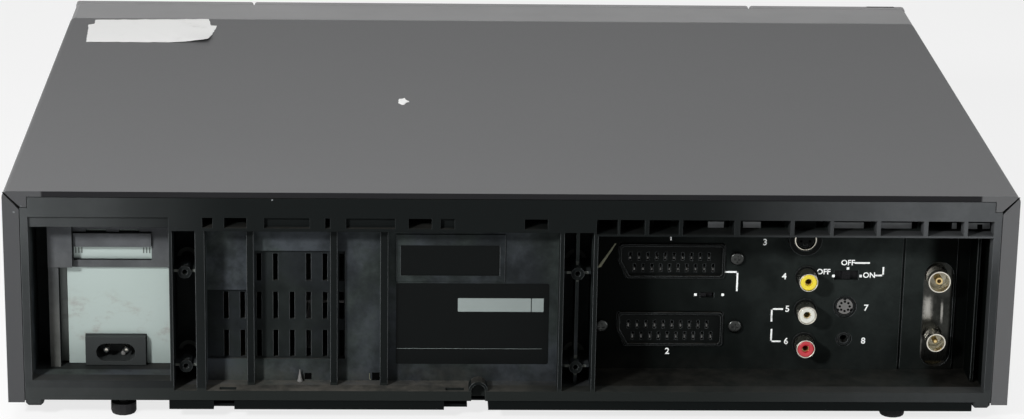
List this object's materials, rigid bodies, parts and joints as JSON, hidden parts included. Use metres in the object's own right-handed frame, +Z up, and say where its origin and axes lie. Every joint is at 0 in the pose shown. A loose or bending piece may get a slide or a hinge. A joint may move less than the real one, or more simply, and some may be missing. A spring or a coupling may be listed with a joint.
{
  "type": "video cassette recorder",
  "caption": "Home video cassette recorder with a flat steel cover, recessed socket bays at the back, a sprung cassette flap, jog dial and working tape deck inside.",
  "frame": {"origin": "bottom centre of the machine's bounding box, where it rests on its feet", "axes": "front looks along -Y, back panel along +Y, +Z up, +X to the left of someone facing the back"},
  "size_m": [0.43, 0.3324, 0.1031],
  "materials": {
    "dark_steel": "fine textured paint",
    "dark_plastic": "moulded, matt",
    "fascia_grey": "satin",
    "black_plastic": "satin",
    "rubber": "matt",
    "zinc": "plated",
    "pale_plate": "satin",
    "yellow_plastic": "glossy",
    "white_plastic": "glossy",
    "red_plastic": "glossy",
    "nickel": "plated",
    "smoked": "polished",
    "board": "phenolic board",
    "aluminium": "machined",
    "steel": "plated"
  },
  "bodies": {
    "casing": {"aerial_socket": "nickel", "audio_head": "steel", "back_left_foot": "rubber", "back_right_foot": "rubber", "bottom_plate": "dark_steel", "carriage_left_plate": "steel", "carriage_right_plate": "steel", "centre_face_plate": "fascia_grey", "control_jack": "black_plastic", "display_window": "smoked", "drive_belt": "rubber", "edit_socket": "black_plastic", "front_fascia": "fascia_grey", "front_left_foot": "rubber", "front_right_foot": "rubber", "jack_board": "board", "left_audio_socket": "white_plastic", "left_face_plate": "fascia_grey", "loading_motor": "steel", "lower_drum": "aluminium", "main_board": "board", "mains_inlet": "black_plastic", "mechanism_deck": "steel", "power_board": "board", "power_shield": "pale_plate", "rear_panel": "dark_plastic", "rf_out_socket": "nickel", "right_audio_socket": "red_plastic", "right_face_plate": "fascia_grey", "s_video_socket": "black_plastic", "scart_socket_lower": "black_plastic", "scart_socket_upper": "black_plastic", "top_cover": "dark_steel", "transformer": "steel", "tuner_can": "zinc", "video_out_socket": "yellow_plastic"},
    "flap": {"cassette_flap": "fascia_grey"},
    "door": {"control_door": "fascia_grey"},
    "power_key": {"power_button": "black_plastic"},
    "eject_key": {"eject_button": "black_plastic"},
    "play_key": {"play_button": "black_plastic"},
    "stop_key": {"stop_button": "black_plastic"},
    "rewind_key": {"rewind_button": "black_plastic"},
    "fast_forward_key": {"fast_forward_button": "black_plastic"},
    "pause_key": {"pause_button": "black_plastic"},
    "record_key": {"record_button": "black_plastic"},
    "jog": {"jog_dial": "black_plastic"},
    "shuttle": {"shuttle_ring": "black_plastic"},
    "rf_switch": {"rf_switch_knob": "black_plastic"},
    "output_selector": {"output_selector_knob": "black_plastic"},
    "spinning_drum": {"head_drum": "aluminium"},
    "capstan": {"capstan_flywheel": "steel"},
    "clutch": {"clutch_pulley": "black_plastic"},
    "pinch_lever": {"pinch_arm": "steel"},
    "pinch_wheel": {"pinch_roller": "rubber"},
    "supply_table": {"supply_reel": "black_plastic"},
    "take_up_table": {"take_up_reel": "black_plastic"},
    "holder": {"cassette_holder": "steel"},
    "supply_post": {"supply_guide": "aluminium"},
    "take_up_post": {"take_up_guide": "aluminium"}
  },
  "joints": [
    {"name": "flap_hinge", "type": "hinge", "parent": "casing", "child": "flap", "pos_m": [-0.00511, -0.16245, 0.0905], "axis": [1, 0, 0], "range_deg": [0, 84], "stiffness_Nm_per_rad": 0.02, "springref_deg": -17.19},
    {"name": "door_hinge", "type": "hinge", "parent": "casing", "child": "door", "pos_m": [-0.00511, -0.16485, 0.0118], "axis": [1, 0, 0], "range_deg": [0, 90]},
    {"name": "power_press", "type": "slide", "parent": "casing", "child": "power_key", "axis": [0, 1, 0], "range_m": [0, 0.0012], "stiffness_N_per_m": 250},
    {"name": "eject_press", "type": "slide", "parent": "casing", "child": "eject_key", "axis": [0, 1, 0], "range_m": [0, 0.0012], "stiffness_N_per_m": 250},
    {"name": "play_press", "type": "slide", "parent": "casing", "child": "play_key", "axis": [0, 1, 0], "range_m": [0, 0.0012], "stiffness_N_per_m": 250},
    {"name": "stop_press", "type": "slide", "parent": "casing", "child": "stop_key", "axis": [0, 1, 0], "range_m": [0, 0.0012], "stiffness_N_per_m": 250},
    {"name": "rewind_press", "type": "slide", "parent": "casing", "child": "rewind_key", "axis": [0, 1, 0], "range_m": [0, 0.0012], "stiffness_N_per_m": 250},
    {"name": "fast_forward_press", "type": "slide", "parent": "casing", "child": "fast_forward_key", "axis": [0, 1, 0], "range_m": [0, 0.0012], "stiffness_N_per_m": 250},
    {"name": "pause_press", "type": "slide", "parent": "casing", "child": "pause_key", "axis": [0, 1, 0], "range_m": [0, 0.0012], "stiffness_N_per_m": 250},
    {"name": "record_press", "type": "slide", "parent": "casing", "child": "record_key", "axis": [0, 1, 0], "range_m": [0, 0.0012], "stiffness_N_per_m": 250},
    {"name": "jog_turn", "type": "hinge", "parent": "casing", "child": "jog", "pos_m": [0.16925, -0.15965, 0.05625], "axis": [0, 1, 0], "continuous": true},
    {"name": "shuttle_turn", "type": "hinge", "parent": "casing", "child": "shuttle", "pos_m": [0.16925, -0.15965, 0.05625], "axis": [0, 1, 0], "range_deg": [-70, 70], "stiffness_Nm_per_rad": 0.03},
    {"name": "rf_switch_slide", "type": "slide", "parent": "casing", "child": "rf_switch", "axis": [1, 0, 0], "range_m": [-0.0032, 0.0032]},
    {"name": "output_selector_slide", "type": "slide", "parent": "casing", "child": "output_selector", "axis": [-1, 0, 0], "range_m": [0, 0.0032]},
    {"name": "drum_spin", "type": "hinge", "parent": "casing", "child": "spinning_drum", "pos_m": [-0.00511, 0.05695, 0.0312], "axis": [0, 0, 1], "continuous": true},
    {"name": "capstan_spin", "type": "hinge", "parent": "casing", "child": "capstan", "pos_m": [0.05689, 0.03695, 0.02], "axis": [0, 0, 1], "continuous": true},
    {"name": "clutch_spin", "type": "hinge", "parent": "casing", "child": "clutch", "pos_m": [-0.00511, -0.01605, 0.02], "axis": [0, 0, 1], "continuous": true},
    {"name": "pinch_arm_swing", "type": "hinge", "parent": "casing", "child": "pinch_lever", "pos_m": [0.06519, 0.06095, 0.0352], "axis": [0, 0, 1], "range_deg": [-25, 0]},
    {"name": "pinch_roller_spin", "type": "hinge", "parent": "pinch_lever", "child": "pinch_wheel", "pos_m": [0.07534, 0.0392, 0.0352], "axis": [0, 0, 1], "continuous": true},
    {"name": "supply_reel_spin", "type": "hinge", "parent": "casing", "child": "supply_table", "pos_m": [-0.05111, -0.03805, 0.0312], "axis": [0, 0, 1], "continuous": true},
    {"name": "take_up_reel_spin", "type": "hinge", "parent": "casing", "child": "take_up_table", "pos_m": [0.04089, -0.03805, 0.0312], "axis": [0, 0, 1], "continuous": true},
    {"name": "holder_slide", "type": "slide", "parent": "casing", "child": "holder", "axis": [0, 1, 0], "range_m": [0, 0.066]},
    {"name": "supply_guide_slide", "type": "slide", "parent": "casing", "child": "supply_post", "axis": [0, 1, 0], "range_m": [0, 0.042]},
    {"name": "take_up_guide_slide", "type": "slide", "parent": "casing", "child": "take_up_post", "axis": [0, 1, 0], "range_m": [0, 0.042]}
  ],
  "couplings": [
    {"joint": "clutch_spin", "follows": "capstan_spin", "ratio": 0.72727},
    {"joint": "take_up_guide_slide", "follows": "supply_guide_slide", "ratio": 1}
  ]
}
